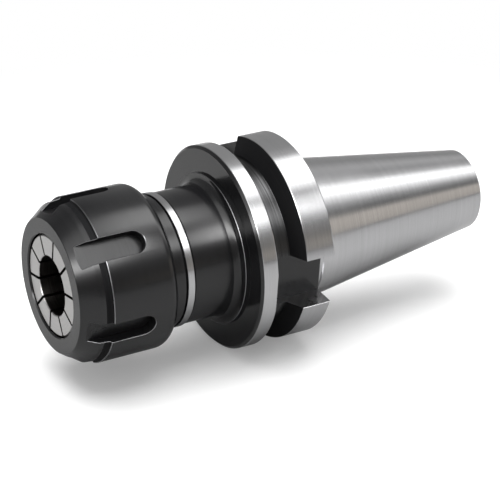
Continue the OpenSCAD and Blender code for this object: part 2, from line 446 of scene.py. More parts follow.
def lines_group():
    """Fine lines round the axis and soft patches, as two values from 0 to 1."""
    tree = bpy.data.node_groups.new("turned lines", "ShaderNodeTree")
    for label in ("Lines per metre", "Patch size"):
        tree.interface.new_socket(label, in_out="INPUT", socket_type="NodeSocketFloat")
    for label in ("Lines", "Patches"):
        tree.interface.new_socket(label, in_out="OUTPUT", socket_type="NodeSocketFloat")
    given = add(tree, "NodeGroupInput").outputs
    where = add(tree, "ShaderNodeTexCoord").outputs["Object"]
    x, y, z = add(tree, "ShaderNodeSeparateXYZ", {0: where}).outputs
    squares = calc(tree, "ADD", calc(tree, "MULTIPLY", x, x), calc(tree, "MULTIPLY", y, y))
    along = calc(tree, "ADD", z, calc(tree, "SQRT", squares))
    stretched = add(tree, "ShaderNodeCombineXYZ", {
        0: calc(tree, "MULTIPLY", x, LINE_DRIFT),
        1: calc(tree, "MULTIPLY", y, LINE_DRIFT),
        2: calc(tree, "MULTIPLY", along, given["Lines per metre"]),
    }).outputs[0]
    lines = add(
        tree, "ShaderNodeTexNoise",
        {"Vector": stretched, "Scale": 1.0, "Detail": 2.0, "Roughness": 0.7},
    )
    patches = add(
        tree, "ShaderNodeTexNoise",
        {"Vector": where, "Scale": given["Patch size"], "Detail": 3.0, "Roughness": 0.55},
    )
    add(tree, "NodeGroupOutput", {"Lines": lines.outputs[0], "Patches": patches.outputs[0]})
    return tree


LINES = lines_group()
print("pattern:", LINES.name)

# %% [markdown]
# ## A metal finish
# A finish mixes two colours along the lines, takes its roughness from the patches and lets the
# lines stand up by a fraction of a micrometre. Bare steel is fully metallic. Black oxide is a
# thin, dark, oiled layer, so it is a nearly black surface with a plain gloss.

# %% A finish from the pattern
NOISE_RANGE = (0.3, 0.7)


def blend_colours(tree, share, first, second):
    """Two colours mixed by a share from 0 to 1."""
    node = add(tree, "ShaderNodeMix", data_type="RGBA")
    by_name = {socket.identifier: socket for socket in node.inputs}
    for key, value in (("Factor_Float", share), ("A_Color", first), ("B_Color", second)):
        if isinstance(value, bpy.types.NodeSocket):
            tree.links.new(value, by_name[key])
        else:
            by_name[key].default_value = value
    return {socket.identifier: socket for socket in node.outputs}["Result_Color"]


def spread(tree, value, low, high):
    """A value that varies as noise does, mostly from 0.3 to 0.7, stretched to a new range."""
    ends = {"From Min": NOISE_RANGE[0], "From Max": NOISE_RANGE[1], "To Min": low, "To Max": high}
    return add(tree, "ShaderNodeMapRange", {"Value": value, **ends}).outputs[0]


def steel(name, dark, light, metal, rough, lines, patches, depth, gloss):
    """A finish: two colours mixed along the lines, and roughness that follows the patches."""
    made = bpy.data.materials.new(name)
    made.use_nodes = True
    tree = made.node_tree
    shader = tree.nodes["Principled BSDF"]
    pattern = add(tree, "ShaderNodeGroup", node_tree=LINES)
    pattern.inputs["Lines per metre"].default_value = lines
    pattern.inputs["Patch size"].default_value = patches
    blend = spread(tree, pattern.outputs["Lines"], 0.0, 1.0)
    tinted = blend_colours(tree, blend, (*dark, 1), (*light, 1))
    tree.links.new(tinted, shader.inputs["Base Color"])
    tree.links.new(spread(tree, pattern.outputs["Patches"], *rough), shader.inputs["Roughness"])
    bump = add(
        tree, "ShaderNodeBump",
        {"Height": pattern.outputs["Lines"], "Strength": 1.0, "Distance": depth},
    )
    tree.links.new(bump.outputs[0], shader.inputs["Normal"])
    shader.inputs["Metallic"].default_value = metal
    shader.inputs["Specular IOR Level"].default_value = gloss
    return made


print("a finish varies over the noise from", *NOISE_RANGE)

# %% [markdown]
# ## The eight finishes
# Three of them cover nearly everything: bright ground steel on the taper, the flange's rims and
# the ring, black oxide on the nut and the rest of the holder, and satin steel on the collet and
# on its seat.

# %% The three main finishes
ground_steel = steel(
    "bright_ground_steel", dark=(0.52, 0.52, 0.525), light=(0.62, 0.62, 0.63), metal=1.0,
    rough=(0.12, 0.20), lines=9000, patches=60, depth=2e-7, gloss=0.5,
)
black_oxide = steel(
    "black_oxide", dark=(0.004, 0.004, 0.0044), light=(0.009, 0.009, 0.0098), metal=0.0,
    rough=(0.13, 0.2), lines=5000, patches=90, depth=5e-7, gloss=0.6,
)
satin_steel = steel(
    "satin_collet_steel", dark=(0.50, 0.495, 0.49), light=(0.60, 0.59, 0.58), metal=1.0,
    rough=(0.28, 0.36), lines=6000, patches=120, depth=3e-7, gloss=0.5,
)
print("finishes", ground_steel.name, black_oxide.name, satin_steel.name)

# %% [markdown]
# The other five are for small places. The drive slots' walls and the edges that get rubbed show
# steel through the black. The collet's bore and slits and the stud's thread are painted dark
# steel, a painted shade for these deep, narrow places. The spanner slots' floors keep the mill's
# coarser marks. Their walls, the narrow grooves, one wall of the flange's groove and the band
# before the nut's step are black oxide painted darker and duller, a painted shade for these
# recesses and corners, and the floor of the flange's groove is worn grey.

# %% The five small finishes
rubbed_edge = steel(
    "rubbed_edge", dark=(0.16, 0.16, 0.165), light=(0.34, 0.34, 0.35), metal=1.0,
    rough=(0.25, 0.4), lines=6000, patches=200, depth=3e-7, gloss=0.5,
)
# Painted shade: steel painted dark for the collet's bore and slits and the stud's thread.
dark_steel = steel(
    "dark_steel", dark=(0.05, 0.045, 0.042), light=(0.10, 0.092, 0.085), metal=1.0,
    rough=(0.3, 0.45), lines=5000, patches=150, depth=3e-7, gloss=0.5,
)
milled_black = steel(
    "milled_black_oxide", dark=(0.004, 0.004, 0.0044), light=(0.009, 0.009, 0.0098), metal=0.0,
    rough=(0.26, 0.34), lines=1300, patches=150, depth=8e-6, gloss=0.5,
)
# Painted shade: black oxide painted darker and duller, for the grooves, the spanner slots' walls,
# one wall of the flange's groove and the band before the nut's step.
painted_shade_black = steel(
    "matt_black_oxide", dark=(0.003, 0.003, 0.0033), light=(0.006, 0.006, 0.0066), metal=0.0,
    rough=(0.5, 0.6), lines=5000, patches=90, depth=5e-7, gloss=0.12,
)
worn_black = steel(
    "worn_black_oxide", dark=(0.035, 0.035, 0.0355), light=(0.12, 0.12, 0.122), metal=1.0,
    rough=(0.18, 0.26), lines=3000, patches=90, depth=1e-6, gloss=0.5,
)
FINISHES = [
    ground_steel, black_oxide, satin_steel, rubbed_edge, dark_steel, milled_black, painted_shade_black,
    worn_black,
]
GROUND, BLACK, SATIN, RUBBED, SHADE_STEEL, MILLED, SHADE_BLACK, WORN = range(len(FINISHES))
print("finishes", [made.name for made in FINISHES])

# %% [markdown]
# ## Turning a piece
# A profile is a list of corners: radius and height in mm, and the finish of the stretch that
# follows. It goes once round the cut face of the metal, so the solid is closed. The lathe turns
# it, and the cutters are subtracted.

# %% Turn one piece
SHARP_ANGLE = math.radians(20)
LATHE_TREE, LATHE_KEYS = lathe_tree(FINISHES)


def rounded(centre_r, centre_z, radius, start, stop, step, finish):
    """Corners of an arc in a profile, by its centre, radius and angles in degrees."""
    corners = []
    for degrees in range(start, stop + (1 if step > 0 else -1), step):
        r = centre_r + radius * math.cos(math.radians(degrees))
        z = centre_z + radius * math.sin(math.radians(degrees))
        corners.append((r, z, finish))
    return corners


def turned_piece(name, profile, cutters):
    """The profile turned on the lathe, with the cutters subtracted."""
    points = [(radius * MM, 0, height * MM) for radius, height, finish in profile]
    points.append(points[0])
    blank = new_object(name, points, [])
    numbers = blank.data.attributes.new(FINISH, "INT", "POINT")
    for value, corner in zip(numbers.data, profile):
        value.value = corner[2]
    shaped(blank, LATHE_TREE, LATHE_KEYS, {"Steps round the axis": SEGMENTS, "Cutters": cutters})
    bpy.data.objects.remove(cutters)
    blank.data.set_sharp_from_angle(angle=SHARP_ANGLE)
    used = [slot.name for slot in blank.data.materials if slot]
    print(name, len(blank.data.polygons), "faces", used)
    return blank


print("the lathe takes", SEGMENTS, "steps round the axis")

# %% [markdown]
# ## The holder
# From the nose up: the thread for the nut, a collar, one ground ring between two grooves, the
# black neck, the gripping flange with its V groove, and the taper. Inside it, the seat for the
# collet narrows by 8 degrees on each side, and the far end has the threaded hole for the stud
# that pulls the holder into the spindle. The taper, the flange and that hole have the published
# sizes of the 40 size steep taper.

# %% The holder's main sizes
NOSE_Z = -69.975
NOSE_R = 19.05
SEAT_SLOPE = math.tan(math.radians(8))
SEAT_MOUTH_R = 16.56
SEAT_MOUTH_Z = -72.375
CHAMBER_R = 11.218
CHAMBER_Z = -36.5
COLLAR_R = 20.2
RELIEF_R = 18.725
RING_R = 20.6
RING_GROOVE_R = 19.6
SHOULDER_R = 23.4
FLANGE_R = 31.5
GRIP_FLOOR_R = 26.5
REAR_FACE_Z = -2.0
GAUGE_R = 22.225
TAPER_SLOPE = 3.5 / 24
TAPER_LENGTH = 65.4
PILOT_R = 8.5
STUD_HOLE_R = 8.0
STUD_CORE_R = 6.92
COOLANT_R = 5.0


def seat_r(z):
    """The radius of the collet's seat at a height."""
    return SEAT_MOUTH_R - (z - SEAT_MOUTH_Z) * SEAT_SLOPE


def taper_r(z):
    """The radius of the taper at a height."""
    return GAUGE_R - z * TAPER_SLOPE


print("the taper's small end is", round(2 * taper_r(TAPER_LENGTH), 2), "mm across")

# %% The holder's profile
# The relief behind the thread and the grooves beside the ring take the dull black finish, a
# painted shade for these recesses.
nose = [
    (seat_r(NOSE_Z) + 0.3, NOSE_Z, BLACK), (18.473, NOSE_Z, BLACK), (NOSE_R, -69.4, BLACK),
    (NOSE_R, -51.8, SHADE_BLACK), (RELIEF_R, -51.5, SHADE_BLACK), (RELIEF_R, -49.2, SHADE_BLACK),
    (19.9, -49.2, BLACK), (COLLAR_R, -48.9, BLACK), (COLLAR_R, -45.95, BLACK),
    (20.05, -45.8, SHADE_BLACK),
]
ring_and_neck = [
    (RING_GROOVE_R, -45.8, SHADE_BLACK), (RING_GROOVE_R, -45.4, GROUND), (20.5, -45.4, GROUND),
    (RING_R, -45.3, GROUND), (RING_R, -43.3, GROUND), (20.5, -43.2, GROUND),
    (RING_GROOVE_R, -43.2, SHADE_BLACK), (RING_GROOVE_R, -42.8, SHADE_BLACK), (20.05, -42.8, BLACK),
    (COLLAR_R, -42.65, BLACK),
]
neck_fillet = rounded(
    centre_r=22.6, centre_z=-30.3, radius=2.4, start=180, stop=90, step=-10, finish=BLACK,
)
# The rear wall of the flange's groove takes the dull black finish, a painted shade for that wall.
flange = [
    (23.25, -27.9, RUBBED), (SHOULDER_R, -27.75, BLACK), (SHOULDER_R, -27.0, BLACK),
    (30.6, -27.0, BLACK), (31.35, -26.25, GROUND), (FLANGE_R, -26.1, GROUND),
    (FLANGE_R, -21.75, GROUND), (31.4, -21.55, BLACK), (GRIP_FLOOR_R, -18.713, WORN),
    (GRIP_FLOOR_R, -14.487, SHADE_BLACK), (31.4, -11.65, GROUND), (FLANGE_R, -11.45, GROUND),
    (FLANGE_R, -2.5, GROUND), (31.0, REAR_FACE_Z, GROUND),
]
taper = [
    (21.825, REAR_FACE_Z, GROUND), (21.825, -0.4, GROUND), (GAUGE_R, 0.0, GROUND),
    (taper_r(TAPER_LENGTH - 1), TAPER_LENGTH - 1, GROUND),
    (taper_r(TAPER_LENGTH) - 1, TAPER_LENGTH, GROUND),
]
inside = [
    (9.0, TAPER_LENGTH, GROUND), (PILOT_R, 64.9, BLACK), (PILOT_R, 56.4, BLACK),
    (STUD_HOLE_R, 56.4, BLACK), (STUD_HOLE_R, 23.0, BLACK), (STUD_CORE_R, 22.4, BLACK),
    (COOLANT_R, 21.2, BLACK), (COOLANT_R, -21.766, BLACK), (CHAMBER_R, -25.5, BLACK),
    (CHAMBER_R, CHAMBER_Z, BLACK), (seat_r(CHAMBER_Z), CHAMBER_Z, SATIN),
    (seat_r(NOSE_Z + 0.3), NOSE_Z + 0.3, BLACK),
]
holder_profile = nose + ring_and_neck + neck_fillet + flange + taper + inside
print(len(holder_profile), "corners in the holder's profile")

# %% [markdown]
# Two drive slots take the spindle's keys. They run from the back of the flange into the groove,
# and lie opposite each other. The notch beside them tells the machine which way round it is.

# %% The holder's slots, and the holder
DRIVE_HALF = 8.05
DRIVE_FLOOR = 22.9
DRIVE_FRONT_Z = -21.2
NOTCH_HALF = 6.5
NOTCH_FLOOR = 25.2
NOTCH_FRONT_Z = -16.6
NOTCH_DEGREES = -127


def rear_slot(half, front_z):
    """The outline of a slot open to the rear, whose walls open out at the rear face."""
    bend = REAR_FACE_Z - EDGE_BREAK
    rise = 2 * REACH
    return [
        (-half, front_z), (half, front_z), (half, bend), (half + rise, bend + rise),
        (-half - rise, bend + rise), (-half, bend),
    ]


def flange_surface(z):
    """The flange's outer radius, the same at every height."""
    return FLANGE_R


drive_cutter = slot_cutter(
    "drive_slot", rear_slot(DRIVE_HALF, DRIVE_FRONT_Z), DRIVE_FLOOR, flange_surface,
    walls=RUBBED, edges=GROUND, floor_finish=BLACK,
)
notch_cutter = slot_cutter(
    "notch", rear_slot(NOTCH_HALF, NOTCH_FRONT_Z), NOTCH_FLOOR, flange_surface,
    walls=BLACK, edges=GROUND, floor_finish=BLACK,
)
drive_slots = ring_of(drive_cutter, count=2, first_degrees=0)
notch = ring_of(notch_cutter, count=1, first_degrees=NOTCH_DEGREES)
holder = turned_piece("holder_steel", holder_profile, joined("holder_cuts", [drive_slots, notch]))

# %% [markdown]
# ## The nut
# The nut screws onto the nose and pushes the collet into its seat. Its front is a cone, then a
# long shallow band with a small step where the cylinder begins. Inside, behind its own cone, a
# lip catches the collet's groove and draws the collet out when the nut is unscrewed.

# %% The nut's profile
NUT_FACE_Z = -80
NUT_CHAMFER_Z = -79.9
NUT_R = 25
LIP_FRONT_Z = -75.775
LIP_BACK_Z = -72.775
BEHIND_LIP_R = 14.9
NUT_BORE_R = 20.05
# The band before the nut's step takes the dull black finish, a painted shade for that corner.
nut_front = [
    (15.9, NUT_FACE_Z, BLACK), (20.3, NUT_FACE_Z, BLACK), (20.45, NUT_CHAMFER_Z, BLACK),
    (23.85, -75.05, BLACK), (23.92, -74.9, BLACK), (24.07, -73.4, SHADE_BLACK), (24.2, -72.2, SHADE_BLACK),
    (24.22, -71.95, SHADE_BLACK), (24.4, -71.6, SHADE_BLACK), (24.7, -71.42, RUBBED),
    (24.86, -71.4, RUBBED), (NUT_R, -71.2, BLACK),
]
nut_back = rounded(
    centre_r=22, centre_z=-53, radius=3, start=0, stop=90, step=10, finish=BLACK,
)
nut_inside = [
    (20.653, -50, BLACK), (NUT_BORE_R, -50.6, BLACK), (NUT_BORE_R, -69.4, BLACK),
    (20.3, -69.8, BLACK), (20.3, LIP_BACK_Z, BLACK), (BEHIND_LIP_R, LIP_BACK_Z, BLACK),
    (BEHIND_LIP_R, LIP_FRONT_Z, BLACK), (16.7, LIP_FRONT_Z, BLACK), (16.7, -77.3, BLACK),
    (15.6, -79.2, BLACK), (15.6, -79.7, BLACK),
]
nut_profile = nut_front + nut_back + nut_inside
print(len(nut_profile), "corners in the nut's profile")

# %% [markdown]
# Six slots with a round end take the spanner's teeth. Their edges are broken along the nut's
# whole outline, so their cutter needs a corner wherever the nut's outline has one.

# %% The nut's spanner slots
SLOT_HALF = 3.5
SLOT_FLOOR = 21.5
SLOT_END_Z = -61.4
BEYOND_Z = -85.0
FLOOR_MEETS_CONE_Z = -77.7
SLOT_COUNT = 6
FIRST_SLOT_DEGREES = 10


def nut_surface(z):
    """The nut's outer radius at a height."""
    for (r_low, z_low, finish), (r_high, z_high, finish) in zip(nut_front, nut_front[1:]):
        if z_low < z <= z_high:
            return r_low + (r_high - r_low) * (z - z_low) / (z_high - z_low)
    return nut_front[-1][0] if z > nut_front[-1][1] else nut_front[1][0]


sides = [NUT_CHAMFER_Z, FLOOR_MEETS_CONE_Z] + [z for r, z, finish in nut_front[3:]]
slot_arc = rounded(
    centre_r=0, centre_z=SLOT_END_Z, radius=SLOT_HALF, start=0, stop=180, step=9, finish=SHADE_BLACK,
)
slot_end = [(y, z) for y, z, finish in slot_arc]
slot_outline = (
    [(-SLOT_HALF, z) for z in reversed(sides)] + [(-SLOT_HALF, BEYOND_Z), (SLOT_HALF, BEYOND_Z)]
    + [(SLOT_HALF, z) for z in sides] + slot_end
)
# The slots' walls take the dull black finish, a painted shade for the slots.
spanner_cutter = slot_cutter(
    "spanner_slot", slot_outline, SLOT_FLOOR, nut_surface,
    walls=SHADE_BLACK, edges=RUBBED, floor_finish=MILLED,
)
spanner_slots = ring_of(spanner_cutter, SLOT_COUNT, FIRST_SLOT_DEGREES)
print(SLOT_COUNT, "spanner slots, their outline has", len(slot_outline), "corners")

# %% [markdown]
# The hole in the lip is bored a little off centre. A collet that is tilted slips in on the wide
# side, snaps straight, and is held on the narrow side.

# %% The lip's hole, and the nut
LIP_HOLE_R = 16.1
LIP_SHIFT = 1.0
LIP_STEPS = 96
BEYOND_LIP = 1
lip_hole = []
for number in range(LIP_STEPS):
    angle = number * math.tau / LIP_STEPS
    lip_hole.append((LIP_SHIFT + LIP_HOLE_R * math.cos(angle), LIP_HOLE_R * math.sin(angle)))
lip_cut = swept(
    "lip_hole", lip_hole, LIP_FRONT_Z - BEYOND_LIP, LIP_BACK_Z + BEYOND_LIP, BLACK,
)
nut = turned_piece("nut_steel", nut_profile, joined("nut_cuts", [spanner_slots, lip_cut]))

# %% [markdown]
# ## The collet
# The collet is a sleeve slit ten times from the front and ten times from the back, so that it
# can spring closed along its whole length. A groove behind its rim is where the nut pulls it
# out again. Its bore and the slits' walls are painted dark steel, a painted shade for these
# deep, narrow places.

# %% The collet's profile
COLLET_FRONT_Z = -79.5
COLLET_BACK_Z = -39.5
COLLET_RIM_R = 16.4
COLLET_GROOVE_R = 14.6
TOOL_BORE_R = 9.0
# The bore is painted dark steel, a painted shade for the deep bore.
collet_profile = [
    (9.25, COLLET_FRONT_Z, SATIN), (14.85, COLLET_FRONT_Z, SATIN), (15.0, -79.35, SATIN),
    (COLLET_RIM_R, -77.075, SATIN), (COLLET_RIM_R, -76.175, SATIN),
    (COLLET_GROOVE_R, -76.175, SATIN), (COLLET_GROOVE_R, -72.375, SATIN),
    (16.5, -72.375, SATIN), (11.88, COLLET_BACK_Z, SATIN), (9.3, COLLET_BACK_Z, SATIN),
    (TOOL_BORE_R, -39.8, SHADE_STEEL), (TOOL_BORE_R, -79.25, SATIN),
]
print(len(collet_profile), "corners in the collet's profile")

# %% The collet's slits, and the collet
SLIT_HALF = 0.45
SLIT_COUNT = 10
SLIT_FROM_R = 5
SLIT_TO_R = 20
FRONT_SLIT_DEGREES = 21.4
REAR_SLIT_DEGREES = 39.4
slit_outline = [
    (SLIT_FROM_R, -SLIT_HALF), (SLIT_TO_R, -SLIT_HALF), (SLIT_TO_R, SLIT_HALF),
    (SLIT_FROM_R, SLIT_HALF),
]
# The slits' walls are painted dark steel, a painted shade for the narrow slits.
front_cutter = swept("front_slit", slit_outline, low=-85, high=-45.5, finish=SHADE_STEEL)
rear_cutter = swept("rear_slit", slit_outline, low=-73, high=-35, finish=SHADE_STEEL)
front_slits = ring_of(front_cutter, SLIT_COUNT, FRONT_SLIT_DEGREES)
rear_slits = ring_of(rear_cutter, SLIT_COUNT, REAR_SLIT_DEGREES)
collet_cuts = joined("collet_cuts", [front_slits, rear_slits])
collet = turned_piece("collet_steel", collet_profile, collet_cuts)

# %% [markdown]
# ## The threads
# A thread is one ridge that climbs in a helix. The tree below is the lathe's idea once more: a
# row of points for each step round the axis, but each row also climbs a little, and the ridge
# fades to a point at both ends, as a cut thread runs out. The nut's ridge and the nose's ridge
# have the same pitch, so that they would fit between each other.

# %% The thread tree
FADE_TURNS = 0.4


def thread_tree():
    """A section carried round and along the axis, which fades out at both ends."""
    inputs = (
        ("Section", "Geometry"), ("Steps in a turn", "Int"), ("Rows", "Int"), ("Pitch", "Float"),
        ("Root", "Vector"), ("Finish", "Material"),
    )
    tree, given, keys = new_tree("thread", inputs, "Thread")
    grid, row, point = rows_of(tree, given["Section"], given["Rows"])
    left = calc(tree, "SUBTRACT", calc(tree, "SUBTRACT", given["Rows"], 1), row)
    fade_rows = calc(tree, "MULTIPLY", given["Steps in a turn"], FADE_TURNS)
    fade = calc(tree, "DIVIDE", calc(tree, "MINIMUM", row, left), fade_rows, clamp=True)
    from_root = add(
        tree, "ShaderNodeVectorMath", {0: point, 1: given["Root"]}, operation="SUBTRACT",
    )
    faded = add(
        tree, "ShaderNodeVectorMath", {0: from_root.outputs[0], "Scale": fade}, operation="SCALE",
    )
    ridge = add(tree, "ShaderNodeVectorMath", {0: faded.outputs[0], 1: given["Root"]})
    turns = calc(tree, "DIVIDE", row, given["Steps in a turn"])
    turned = add(
        tree, "ShaderNodeVectorRotate",
        {"Vector": ridge.outputs[0], "Angle": calc(tree, "MULTIPLY", turns, math.tau)},
        rotation_type="Z_AXIS",
    )
    climb = add(tree, "ShaderNodeCombineXYZ", {"Z": calc(tree, "MULTIPLY", turns, given["Pitch"])})
    climbed = add(tree, "ShaderNodeVectorMath", {0: turned.outputs[0], 1: climb.outputs[0]})
    skin = add(
        tree, "GeometryNodeSetPosition", {"Geometry": grid, "Position": climbed.outputs[0]},
    )
    closed = welded(tree, skin.outputs[0])
    real = add(tree, "GeometryNodeRealizeInstances", {"Geometry": closed})
    shown = add(
        tree, "GeometryNodeSetMaterial",
        {"Geometry": real.outputs[0], "Material": given["Finish"]},
    )
    add(tree, "NodeGroupOutput", {0: shown.outputs[0]})
    return tree, keys


THREAD_TREE, THREAD_KEYS = thread_tree()
print("thread tree: a section, its steps, rows, pitch, root and finish go in")

# %% [markdown]
# The ridge's section is a flat crest between two flanks. Its foot is sunk a little into the
# metal that carries it, so that no gap shows under it.

# %% One thread
CREST_SHARE = 0.28
FLANK_SHARE = 0.22
BURIED = 0.1


def thread(name, root_r, crest_r, low_z, high_z, pitch, steps, finish):
    """A helical ridge on a shaft or in a bore, from root to crest, between two heights in mm."""
    sunk_r = root_r + math.copysign(BURIED, root_r - crest_r)
    flank, crest = FLANK_SHARE * pitch, CREST_SHARE * pitch
    width = 2 * flank + crest
    section = [
        (sunk_r, 0), (crest_r, flank), (crest_r, flank + crest), (sunk_r, width), (sunk_r, 0),
    ]
    made = new_object(name, [(r * MM, 0, (low_z + z) * MM) for r, z in section], [])
    turns = (high_z - low_z - width) / pitch
    shaped(made, THREAD_TREE, THREAD_KEYS, {
        "Steps in a turn": steps,
        "Rows": int(turns * steps) + 1,
        "Pitch": pitch * MM,
        "Root": (sunk_r * MM, 0, (low_z + width / 2) * MM),
        "Finish": finish,
    })
    build = bmesh.new()
    build.from_mesh(made.data)
    bmesh.ops.recalc_face_normals(build, faces=build.faces)
    build.to_mesh(made.data)
    build.free()
    made.data.set_sharp_from_angle(angle=SHARP_ANGLE)
    print(name, round(turns, 1), "turns,", len(made.data.polygons), "faces")
    return made


print("a ridge takes", round(2 * FLANK_SHARE + CREST_SHARE, 2), "of the pitch")

# %% Three threads
NUT_PITCH = 1.5
STUD_PITCH = 2.0
LARGE_STEPS = 128
SMALL_STEPS = 64
nose_thread = thread(
    "nose_thread", root_r=NOSE_R, crest_r=19.48, low_z=-69.2, high_z=-51.9,
    pitch=NUT_PITCH, steps=LARGE_STEPS, finish=black_oxide,
)
nut_thread = thread(
    "nut_thread", root_r=NUT_BORE_R, crest_r=19.58, low_z=-69.3, high_z=-50.7,
    pitch=NUT_PITCH, steps=LARGE_STEPS, finish=black_oxide,
)
# The stud's thread is painted dark steel, a painted shade deep in its hole.
stud_thread = thread(
    "stud_thread", root_r=STUD_HOLE_R, crest_r=6.95, low_z=23.2, high_z=56.3,
    pitch=STUD_PITCH, steps=SMALL_STEPS, finish=dark_steel,
)

# %% [markdown]
# ## Riding on the frame
# The holder, the nut and the collet each take the place of a plain solid and move with that
# solid's body. The threads are extra pieces, and each moves with the body that carries it.

# %% Hand the pieces to the frame
for piece, node, slot in (
    (holder, "holder", "ground_steel"),
    (nut, "nut", "black_oxide_steel"),
    (collet, "collet", "satin_steel"),
):
    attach(piece, node)
    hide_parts(node)
    print(piece.name, "rides on", node)
for piece, body, slot in (
    (nose_thread, "holder", "ground_steel"),
    (stud_thread, "holder", "ground_steel"),
    (nut_thread, "nut", "black_oxide_steel"),
):
    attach(piece, body)
    print(piece.name, "rides on", body)

# %% [markdown]
# ## The studio
# Polished metal shows what stands round it, so the studio matters more than the lamps. In the
# photograph the holder lies on a white table, with a long soft box above it, a dim room behind
# the camera and a warm wall at the height of the lens. The world paints such a studio in bands,
# by the angle round the holder's axis. It has three parts: the nut shows the front one, the
# flange the middle one and the taper the back one, and along the neck the first passes into the
# second. The levels were found by comparing the render with the photograph, one highlight after
# another.

# %% The studio's bands
# Each band: the angle round the axis in degrees (0 is towards the camera, less is higher up),
# the level of light there, and how warm it is from 0 to 1.
FRONT_OF_STUDIO = [
    (-180, 0.24, 0), (-130, 0.22, 0), (-102, 0.18, 0), (-81, 0.34, 0), (-66, 1.3, 0),
    (-50, 1.7, 0), (-38, 2.8, 0), (-30, 6.4, 0), (-20, 8.6, 0), (-12, 6.6, 0), (-6, 1.3, 0),
    (3, 0.35, 0.4), (20, 0.18, 0.3), (33, 0.45, 0), (48, 0.80, 0), (66, 0.85, 0),
    (100, 0.50, 0), (125, 0.36, 0), (150, 0.34, 0), (180, 0.24, 0),
]
MIDDLE_OF_STUDIO = [
    (-180, 0.30, 0), (-126, 0.36, 0), (-102, 0.40, 0), (-88, 0.60, 0), (-75, 3.2, 0),
    (-66, 3.8, 0), (-56, 4.2, 0), (-47, 1.8, 0), (-37, 0.6, 0), (-28, 1.1, 0), (-18, 1.5, 0),
    (-9, 0.7, 0), (0, 0.32, 0), (12, 0.25, 0.5), (22, 0.40, 1), (30, 0.34, 0.6),
    (38, 0.75, 0), (50, 0.95, 0), (66, 0.95, 0), (84, 0.58, 0), (104, 0.28, 0),
    (130, 0.14, 0), (180, 0.30, 0),
]
BACK_OF_STUDIO = [
    (-180, 0.50, 0), (-129, 0.34, 0), (-104, 0.60, 0), (-84, 0.44, 0), (-70, 0.70, 0),
    (-60, 1.9, 0), (-46, 2.2, 0), (-36, 1.3, 0), (-22, 0.46, 0), (-8, 0.18, 0), (-2, 0.36, 0.5),
    (4, 0.70, 1), (22, 0.62, 1), (32, 0.48, 0.7), (40, 0.50, 0.2), (48, 0.88, 0), (70, 0.93, 0),
    (97, 0.88, 0), (123, 0.72, 0), (150, 0.55, 0), (180, 0.50, 0),
]
WARM = (1.0, 0.93, 0.85)
LIGHT_SCALE = 9.0


def studio_bands(tree, turned, bands):
    """The bands of light along one part of the studio, as a colour ramp. A ramp's colours stay
    between 0 and 1, so each level is divided by the brightest one there can be."""
    ramp = add(tree, "ShaderNodeValToRGB", {0: turned})
    stops = ramp.color_ramp.elements
    for degrees, level, warmth in bands[1:-1]:
        stops.new((degrees + 180) / 360)
    stops[len(bands) - 1].position = 1.0
    for stop, (degrees, level, warmth) in zip(stops, bands):
        tint = [1 + warmth * (part - 1) for part in WARM]
        stop.color = (*[level / LIGHT_SCALE * part for part in tint], 1)
    return ramp.outputs[0]


print("studio of", len(FRONT_OF_STUDIO), len(MIDDLE_OF_STUDIO), len(BACK_OF_STUDIO), "bands")

# %% [markdown]
# A ray that leaves the scene has a direction. Its angle round the holder's axis picks the band,
# and how far it points along the axis picks the part of the studio.

# %% Where a ray meets the studio
FRONT_TO_MIDDLE = (0.385, 0.43)
MIDDLE_TO_BACK = (0.52, 0.66)
toward_eye = Vector((eye_back.x, eye_back.y, 0)).normalized()
upward = Vector((0, 0, 1)).cross(toward_eye)
if upward.dot(eye_up) < 0:
    upward = -upward


def smooth_share(tree, value, low, high):
    """0 below low, 1 above high, and smooth in between."""
    return add(
        tree, "ShaderNodeMapRange", {"Value": value, "From Min": low, "From Max": high},
        interpolation_type="SMOOTHSTEP",
    ).outputs[0]


def studio_light(tree):
    """The colour of the studio in the direction of a ray."""
    ray = add(tree, "ShaderNodeTexCoord").outputs["Generated"]
    ahead = add(tree, "ShaderNodeVectorMath", {0: ray, 1: toward_eye}, operation="DOT_PRODUCT")
    below = add(tree, "ShaderNodeVectorMath", {0: ray, 1: -upward}, operation="DOT_PRODUCT")
    angle = calc(tree, "ARCTAN2", below.outputs["Value"], ahead.outputs["Value"])
    turned = add(
        tree, "ShaderNodeMapRange",
        {"Value": angle, "From Min": -math.pi, "From Max": math.pi, "To Min": 0.0, "To Max": 1.0},
    ).outputs[0]
    along = add(tree, "ShaderNodeSeparateXYZ", {0: ray}).outputs[2]
    front = studio_bands(tree, turned, FRONT_OF_STUDIO)
    middle_part = studio_bands(tree, turned, MIDDLE_OF_STUDIO)
    back = studio_bands(tree, turned, BACK_OF_STUDIO)
    past_front = smooth_share(tree, along, *FRONT_TO_MIDDLE)
    past_middle = smooth_share(tree, along, *MIDDLE_TO_BACK)
    near_parts = blend_colours(tree, past_front, front, middle_part)
    return blend_colours(tree, past_middle, near_parts, back)


print("the studio's parts change over at", FRONT_TO_MIDDLE, "and", MIDDLE_TO_BACK)

# %% [markdown]
# Only reflected rays see the bands. The camera sees plain white, and dull surfaces are lit by an
# even, soft light. Light Path tells the three apart.

# %% The world
SOFT_LEVEL = 0.5
WHITE = (1, 1, 1, 1)


def mixed(tree, share, first, second):
    """Two shaders mixed by a share from 0 to 1."""
    return add(tree, "ShaderNodeMixShader", {0: share, 1: first, 2: second}).outputs[0]


